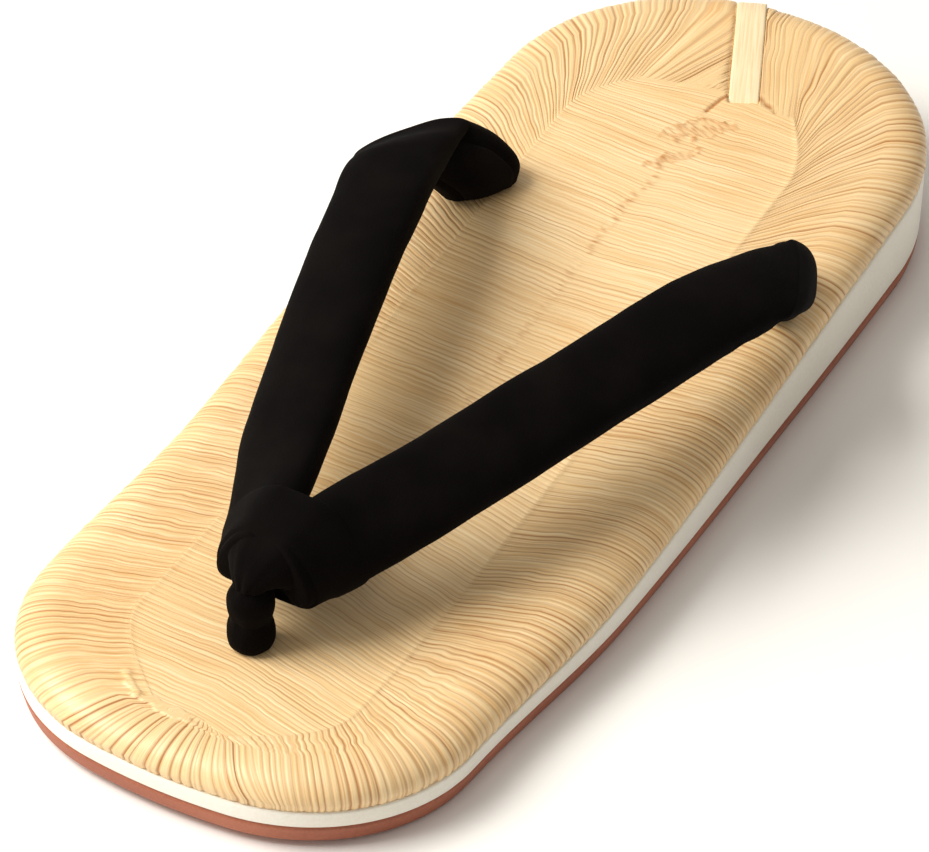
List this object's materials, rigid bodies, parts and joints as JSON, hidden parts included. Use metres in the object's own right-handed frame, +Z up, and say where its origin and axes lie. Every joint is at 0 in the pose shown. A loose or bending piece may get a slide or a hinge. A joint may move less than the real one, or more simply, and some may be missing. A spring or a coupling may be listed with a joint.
{
  "type": "thong sandal",
  "caption": "Flat thong sandal for a right foot: woven footbed over a foam wedge, rubber outsole, padded velvet Y-strap held by knotted cords.",
  "frame": {"origin": "on the ground under the middle of the sole's box", "axes": "+Z up, the toe points to -Y, the heel to +Y, and the little-toe side of this right-foot sandal to +X"},
  "size_m": [0.1027, 0.265, 0.0516],
  "materials": {
    "rust_rubber": "matt rust-brown moulded rubber",
    "white_foam": "matt off-white closed-cell foam with a skived edge",
    "core_foam": "matt firm foam",
    "woven_sheath": "satin straw-coloured bamboo sheath, fine ribs with darker grooves",
    "smooth_sheath": "satin smooth bamboo sheath",
    "black_velvet": "deep black cotton velvet pile",
    "black_lining": "matt black twill",
    "cotton_padding": "undyed cotton batting",
    "hemp_cord": "laid hemp cord",
    "washer_leather": "plain stamped leather"
  },
  "bodies": {
    "root": {"outsole": "rust_rubber", "midsole_wedge": "white_foam", "footbed_core": "core_foam", "woven_cover": "woven_sheath", "heel_strip": "smooth_sheath", "strap_cover_left": "black_velvet", "strap_cover_right": "black_velvet", "strap_wrap": "black_velvet", "toe_post_cover": "black_velvet", "strap_lining_left": "black_lining", "strap_lining_right": "black_lining", "strap_padding_left": "cotton_padding", "strap_padding_right": "cotton_padding", "toe_post_padding": "cotton_padding", "strap_cord": "hemp_cord", "toe_cord": "hemp_cord", "front_washer": "washer_leather", "rear_washer_left": "washer_leather", "rear_washer_right": "washer_leather"}
  },
  "joints": []
}
